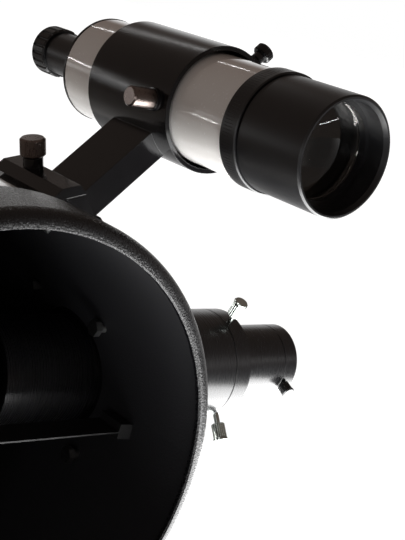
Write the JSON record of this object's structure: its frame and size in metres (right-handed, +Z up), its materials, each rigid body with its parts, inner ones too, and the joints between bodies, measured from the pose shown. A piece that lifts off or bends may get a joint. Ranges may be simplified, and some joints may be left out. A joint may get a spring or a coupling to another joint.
{
  "type": "newtonian reflector telescope",
  "caption": "Newtonian reflector optical tube with spider, mirrors, rack focuser, finder scope, hinged tube rings and dovetail plate.",
  "frame": {"origin": "centre of the dovetail plate's underside", "axes": "+Y along the tube from its open mouth to the mirror end, +X along the focuser, +Z up from the plate"},
  "size_m": [0.4118, 0.9481, 0.3378],
  "materials": {
    "white_enamel": "gloss",
    "black_powder_coat": "wrinkle powder coat",
    "black_anodised": "satin anodised",
    "black_paint": "matt",
    "chromed_brass": "polished",
    "black_nickel": "satin nickel",
    "zinc_steel": "zinc plated",
    "spring_steel": "drawn wire",
    "brass": "turned",
    "silvered_glass": "coated",
    "coated_glass": "anti-reflection coated",
    "black_rubber": "moulded",
    "black_plastic": "moulded",
    "cast_aluminium": "die cast, painted"
  },
  "bodies": {
    "tube_assembly": {"main_tube": "white_enamel", "front_end_ring": "black_powder_coat", "rear_end_ring": "black_powder_coat", "rear_ring_screws": "zinc_steel", "spider_hub": "black_paint", "spider_vanes": "black_paint", "vane_screws": "zinc_steel", "secondary_holder": "black_paint", "secondary_mirror": "silvered_glass", "secondary_screws": "zinc_steel", "primary_mirror": "silvered_glass", "mirror_cell": "cast_aluminium", "mirror_clips": "black_plastic", "clip_screws": "zinc_steel", "cell_backplate": "black_powder_coat", "collimation_springs": "spring_steel", "focuser_body": "black_powder_coat", "focuser_screws": "zinc_steel", "pinion_cover": "black_anodised", "finder_shoe": "black_powder_coat", "shoe_screws": "zinc_steel", "finder_bracket": "black_powder_coat", "aiming_lock_nuts": "black_anodised", "plunger_housing": "black_nickel", "plunger_spring": "spring_steel", "tube_ring_bases": "black_powder_coat", "ring_hinge_pins": "zinc_steel", "dovetail_plate": "black_anodised", "plate_screws": "zinc_steel"},
    "drawtube": {"drawtube": "black_anodised", "eyepiece_holder": "black_anodised", "holder_clamp_band": "brass", "eyepiece_adapter": "black_anodised", "adapter_clamp_band": "brass"},
    "pinion": {"pinion_shaft": "zinc_steel", "focus_knobs": "black_plastic"},
    "focus_lock_screw": {"focus_lock_screw": "black_plastic"},
    "holder_screw_upper": {"holder_screw_upper": "chromed_brass"},
    "holder_screw_lower": {"holder_screw_lower": "chromed_brass"},
    "adapter_screw": {"adapter_screw": "black_anodised"},
    "shoe_lock_knob": {"shoe_lock_knob": "black_nickel"},
    "aiming_screw_right": {"aiming_screw_right": "black_anodised"},
    "aiming_screw_left": {"aiming_screw_left": "black_anodised"},
    "plunger_pin": {"plunger_pin": "zinc_steel"},
    "finder_pivot": {"finder_o_ring": "black_rubber"},
    "finder_tube": {"finder_tube": "white_enamel", "finder_eyepiece": "black_anodised", "eyepiece_ring": "black_plastic", "eye_lens": "coated_glass", "finder_reticle": "black_paint"},
    "focus_lock_ring": {"focus_lock_ring": "black_anodised"},
    "objective_cell": {"dew_shield": "black_anodised", "objective_lens": "coated_glass"},
    "ring_clamp_front": {"tube_ring_clamp_front": "black_powder_coat"},
    "ring_clamp_rear": {"tube_ring_clamp_rear": "black_powder_coat"},
    "ring_knob_front": {"ring_knob_front": "black_plastic"},
    "ring_knob_rear": {"ring_knob_rear": "black_plastic"},
    "collimation_knob_top": {"collimation_knob_top": "black_plastic"},
    "collimation_knob_left": {"collimation_knob_left": "black_plastic"},
    "collimation_knob_right": {"collimation_knob_right": "black_plastic"}
  },
  "joints": [
    {"name": "drawtube_slide", "type": "slide", "parent": "tube_assembly", "child": "drawtube", "axis": [1, 0, 0], "range_m": [-0.002, 0.038]},
    {"name": "pinion_turn", "type": "hinge", "parent": "tube_assembly", "child": "pinion", "pos_m": [0.148, -0.4237, 0.1066], "axis": [0, 1, 0], "range_deg": [-20, 364]},
    {"name": "focus_lock_turn", "type": "hinge", "parent": "tube_assembly", "child": "focus_lock_screw", "pos_m": [0.148, -0.4237, 0.1896], "axis": [0, 0, 1], "range_deg": [-180, 540]},
    {"name": "holder_screw_upper_turn", "type": "hinge", "parent": "drawtube", "child": "holder_screw_upper", "pos_m": [0.2149, -0.43569, 0.17427], "axis": [0, -0.3746, 0.9272], "range_deg": [-180, 720]},
    {"name": "holder_screw_lower_turn", "type": "hinge", "parent": "drawtube", "child": "holder_screw_lower", "pos_m": [0.2149, -0.44296, 0.11904], "axis": [0, -0.6018, -0.7986], "range_deg": [-180, 720]},
    {"name": "adapter_screw_turn", "type": "hinge", "parent": "drawtube", "child": "adapter_screw", "pos_m": [0.2639, -0.44377, 0.13608], "axis": [0, -0.9205, -0.3907], "range_deg": [-180, 720]},
    {"name": "shoe_lock_turn", "type": "hinge", "parent": "tube_assembly", "child": "shoe_lock_knob", "pos_m": [0.08345, -0.3995, 0.25102], "axis": [-0.2419, 0, 0.9703], "range_deg": [-180, 1080]},
    {"name": "aiming_right_turn", "type": "hinge", "parent": "tube_assembly", "child": "aiming_screw_right", "pos_m": [0.1846, -0.439, 0.32811], "axis": [0.7071, 0, 0.7071], "range_deg": [-360, 360]},
    {"name": "aiming_left_turn", "type": "hinge", "parent": "tube_assembly", "child": "aiming_screw_left", "pos_m": [0.1846, -0.439, 0.27155], "axis": [0.7071, 0, -0.7071], "range_deg": [-360, 360]},
    {"name": "plunger_slide", "type": "slide", "parent": "tube_assembly", "child": "plunger_pin", "axis": [-1, 0, 0], "range_m": [0, 0.003], "stiffness_N_per_m": 300, "springref_m": -0.004, "deforming": ["plunger_spring"]},
    {"name": "finder_tilt_side", "type": "hinge", "parent": "tube_assembly", "child": "finder_pivot", "pos_m": [0.15632, -0.382, 0.29983], "axis": [0, 0, 1], "range_deg": [-0.8, 0.8]},
    {"name": "finder_tilt_up", "type": "hinge", "parent": "finder_pivot", "child": "finder_tube", "pos_m": [0.15632, -0.382, 0.29983], "axis": [1, 0, 0], "range_deg": [-0.8, 0.8]},
    {"name": "objective_slide", "type": "slide", "parent": "finder_tube", "child": "objective_cell", "axis": [0, -1, 0], "range_m": [0, 0.006]},
    {"name": "focus_lock_ring_turn", "type": "hinge", "parent": "objective_cell", "child": "focus_lock_ring", "pos_m": [0.15632, -0.497, 0.29983], "axis": [0, 1, 0], "range_deg": [-360, 360]},
    {"name": "ring_clamp_front_open", "type": "hinge", "parent": "tube_assembly", "child": "ring_clamp_front", "pos_m": [-0.1326, -0.1, 0.1446], "axis": [0, -1, 0], "range_deg": [0, 100]},
    {"name": "ring_knob_front_turn", "type": "hinge", "parent": "ring_clamp_front", "child": "ring_knob_front", "pos_m": [0.1396, -0.1, 0.1646], "axis": [0, 0, 1], "range_deg": [-1080, 360]},
    {"name": "ring_clamp_rear_open", "type": "hinge", "parent": "tube_assembly", "child": "ring_clamp_rear", "pos_m": [-0.1326, 0.1, 0.1446], "axis": [0, -1, 0], "range_deg": [0, 100]},
    {"name": "ring_knob_rear_turn", "type": "hinge", "parent": "ring_clamp_rear", "child": "ring_knob_rear", "pos_m": [0.1396, 0.1, 0.1646], "axis": [0, 0, 1], "range_deg": [-1080, 360]},
    {"name": "collimation_top_turn", "type": "hinge", "parent": "tube_assembly", "child": "collimation_knob_top", "pos_m": [0, 0.3928, 0.2246], "axis": [0, 1, 0], "range_deg": [-720, 720]},
    {"name": "collimation_left_turn", "type": "hinge", "parent": "tube_assembly", "child": "collimation_knob_left", "pos_m": [-0.06928, 0.3928, 0.1046], "axis": [0, 1, 0], "range_deg": [-720, 720]},
    {"name": "collimation_right_turn", "type": "hinge", "parent": "tube_assembly", "child": "collimation_knob_right", "pos_m": [0.06928, 0.3928, 0.1046], "axis": [0, 1, 0], "range_deg": [-720, 720]}
  ],
  "couplings": [
    {"joint": "pinion_turn", "follows": "drawtube_slide", "rad_per_m": 166.67}
  ]
}
